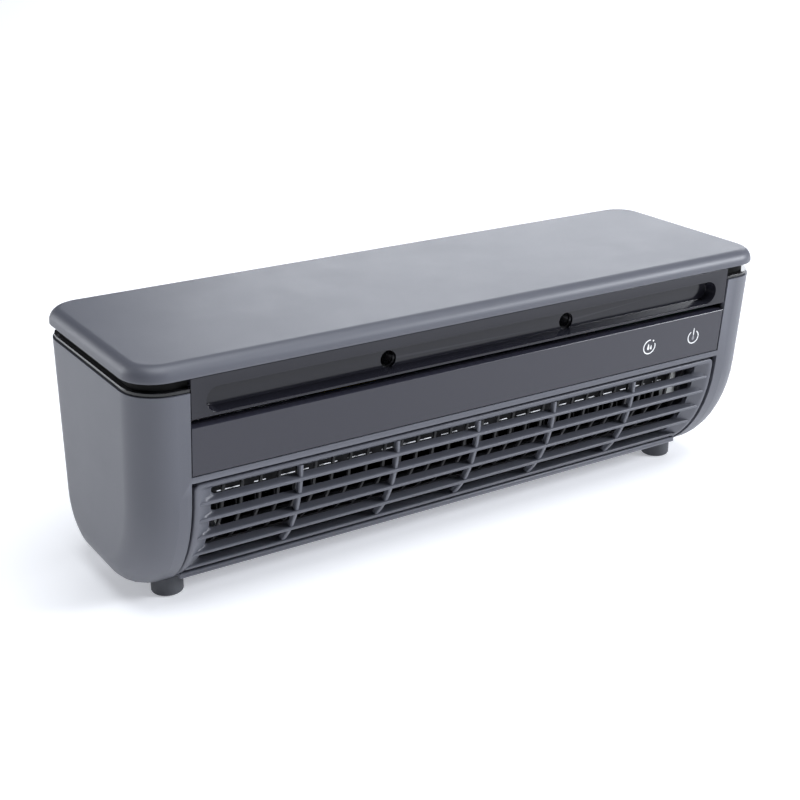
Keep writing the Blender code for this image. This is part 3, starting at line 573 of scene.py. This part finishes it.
def symbols():
    """The drying and power symbols, printed white on the touch panel, and the power symbol's grey drop."""
    bm = bmesh.new()
    x, z = DRYING_SYMBOL
    add_line(bm, arc_points(DRYING_SYMBOL, DRYING_R, 24, -278))
    add_drop(bm, (x - 0.55 * MM, z - 0.75 * MM), 2.9 * MM, 0.21)
    add_drop(bm, (x + 0.95 * MM, z - 0.9 * MM), 2.2 * MM, 0.2)
    add_drop(bm, arc_points(DRYING_SYMBOL, DRYING_R, 53, 53, 1)[0], 0.9 * MM, 0.45)
    x, z = POWER_SYMBOL
    add_line(bm, arc_points(POWER_SYMBOL, POWER_R, 58, -238))
    add_line(bm, [(x, z + t * MM) for t in (0.1, 1.5, 2.9, 4.2)])
    piece = finish_piece("panel_symbols", bm, "symbol_white", "body")
    bm = bmesh.new()
    add_drop(bm, (x, z - 0.7 * MM), 2.4 * MM, 0.3)
    drop = finish_piece("power_drop", bm, "symbol_grey", "body")


# ---------------------------------------------------------------- touch panel and neck


def touch_panel():
    """The strip that carries the symbols, with a broad chamfer along its top."""
    low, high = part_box("touch_panel")
    x_half, bottom, top = high[0], low[2], PANEL_TOP
    face = PANEL_FACE
    chamfer_low = top - PANEL_CHAMFER_HIGH
    ease_in, ease_up, ease_back = PANEL_EASE
    foot, corner, crown = -wall_y(bottom, face), -wall_y(chamfer_low, face), -wall_y(top, face)
    outline = [
        (foot + PANEL_FOOT_EASE, bottom),
        (foot, bottom + PANEL_FOOT_EASE),
        (corner, chamfer_low),
        (corner + ease_in, chamfer_low + ease_up),
        (crown + PANEL_CHAMFER_DEEP, top - ease_up),
        (crown + PANEL_CHAMFER_DEEP + ease_back, top),
        (high[1], top),
        (high[1], bottom),
    ]
    bm = bmesh.new()
    add_loft(bm, [[(x, y, z) for y, z in outline] for x in (-x_half, x_half)])
    piece = finish_piece("touch_panel_visual", bm, "panel_black", "body", 20)
    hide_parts("touch_panel")


def rounded_rectangle(half_x, half_y, radius, z, steps=8):
    points = []
    for start, sx, sy in ((0, 1, 1), (90, -1, 1), (180, -1, -1), (270, 1, -1)):
        for i in range(steps + 1):
            turn = math.radians(start + 90 * i / steps)
            x = sx * (half_x - radius) + radius * math.cos(turn)
            points.append((x, sy * (half_y - radius) + radius * math.sin(turn), z))
    return points


def neck_skirt():
    """The black band under the lid's rim, just inside the shell's mouth: its black plastic made near-black
    and dull as painted shade in the gap under the lid.
    """
    low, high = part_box("rim_bezel")[1][2] + NECK_OVER_RIM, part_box("lid_cover")[0][2] + NECK_INTO_LID
    rings = []
    for inset, z in ((0, low), (0, high), (NECK_THICK, high), (NECK_THICK, low)):
        rings.append(rounded_rectangle(NECK_HALF_X - inset, NECK_HALF_Y - inset, NECK_CORNER - inset, z))
    bm = bmesh.new()
    add_loft(bm, rings, closed=True)
    piece = finish_piece("neck_skirt", bm, "painted_shade_black", "lid")


# ---------------------------------------------------------------- port threads


def port_thread(side):
    """The helical ridge inside a port's metal sleeve."""
    low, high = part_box(f"port_insert_{side}")
    x = (low[0] + high[0]) / 2
    start = low[1] + THREAD_START
    steps = 24
    rings = []
    for i in range(THREAD_TURNS * steps + 1):
        turn = 2 * math.pi * i / steps
        y = start + THREAD_PITCH * i / steps
        fade = min(1.0, i / steps, (THREAD_TURNS * steps - i) / steps)
        crest = THREAD_R - THREAD_RIDGE * max(fade, 0.05)
        rise, flat, fall = THREAD_FLANKS
        ring = [(THREAD_R, y), (crest, y + rise), (crest, y + flat), (THREAD_R, y + fall)]
        rings.append([(x + r * math.cos(turn), py, PORT_Z + r * math.sin(turn)) for r, py in ring])
    bm = bmesh.new()
    add_loft(bm, rings)
    piece = finish_piece(f"port_thread_{side}", bm, "blackened_steel", "lid", 50)


# ---------------------------------------------------------------- CAD shapes with soft edges


def recast(node, width, angle=28, segments=3):
    """Stands in for a CAD node: its own shape, welded and smooth-shaded, with its sharp edges rounded."""
    bm = bmesh.new()
    bm.from_mesh(NODES[node].data)
    bmesh.ops.remove_doubles(bm, verts=bm.verts, dist=WELD_DISTANCE)
    bmesh.ops.dissolve_limit(bm, angle_limit=FLAT_WITHIN, verts=bm.verts, edges=bm.edges)
    piece = finish_piece(f"{node}_visual", bm, SLOTS[node], NODES[node]["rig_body"], angle)
    bevel = piece.modifiers.new("soft_edges", "BEVEL")
    bevel.width = width
    bevel.segments = segments
    bevel.limit_method = "ANGLE"
    bevel.angle_limit = math.radians(angle)
    weigh = piece.modifiers.new("flat_faces", "WEIGHTED_NORMAL")
    weigh.keep_sharp = True
    weigh.weight = 80
    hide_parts(node)


grille()
heater_ribbon()
touch_panel()
neck_skirt()
symbols()
for side in ("left", "right"):
    port_thread(side)
for node, width in SOFT_EDGES.items():
    recast(node, width)


# ---------------------------------------------------------------- stage


def floor():
    mesh = bpy.data.meshes.new("floor")
    size = 6.0
    corners = [(-size, -size, 0), (size, -size, 0), (size, size, 0), (-size, size, 0)]
    mesh.from_pydata(corners, [], [(0, 1, 2, 3)])
    obj = bpy.data.objects.new("floor", mesh)
    bpy.context.scene.collection.objects.link(obj)
    made = Nodes("floor_paper")
    pale = made.mix(made.spread(made.noise(3), 0, 1), (0.86, 0.86, 0.87), (0.88, 0.88, 0.88))
    made.link(pale, made.shader.inputs["Base Color"])
    made.link(made.spread(made.noise(40), 0.7, 0.8), made.shader.inputs["Roughness"])
    made.shader.inputs["Emission Color"].default_value = (0.93, 0.95, 1.0, 1.0)
    made.shader.inputs["Emission Strength"].default_value = FLOOR_GLOW
    mesh.materials.append(made.material)


def area_light(name, place, target, size, power):
    data = bpy.data.lights.new(name, "AREA")
    data.shape = "RECTANGLE"
    data.size, data.size_y = size
    data.energy = power
    data.color = LIGHT_COLOR
    obj = bpy.data.objects.new(name, data)
    bpy.context.scene.collection.objects.link(obj)
    obj.location = place
    obj.rotation_euler = (Vector(target) - Vector(place)).to_track_quat("-Z", "Y").to_euler()


def studio():
    scene = bpy.context.scene
    scene.view_settings.view_transform = "Standard"
    world = bpy.data.worlds.new("studio")
    scene.world = world
    world.use_nodes = True
    background = world.node_tree.nodes["Background"]
    background.inputs["Color"].default_value = (0.93, 0.95, 1, 1)
    background.inputs["Strength"].default_value = WORLD
    for name, place, size, power in LIGHTS:
        area_light(name, place, (0, 0, 0.05), size, power)


def camera():
    forward = Vector((math.sin(YAW) * math.cos(PITCH), math.cos(YAW) * math.cos(PITCH), -math.sin(PITCH)))
    right = Vector((math.cos(YAW), -math.sin(YAW), 0))
    up = right.cross(forward)
    rows = Matrix((right, up, forward))
    place = -(rows.transposed() @ OFFSET_MM) * MM
    data = bpy.data.cameras.new("camera")
    data.sensor_width = SENSOR_MM
    data.lens = FOCAL_PX / FRAME_PX * SENSOR_MM
    data.clip_start = 0.01
    obj = bpy.data.objects.new("camera", data)
    bpy.context.scene.collection.objects.link(obj)
    obj.matrix_world = Matrix.Translation(place) @ Matrix((right, up, -forward)).transposed().to_4x4()
    bpy.context.scene.camera = obj


floor()
studio()
camera()
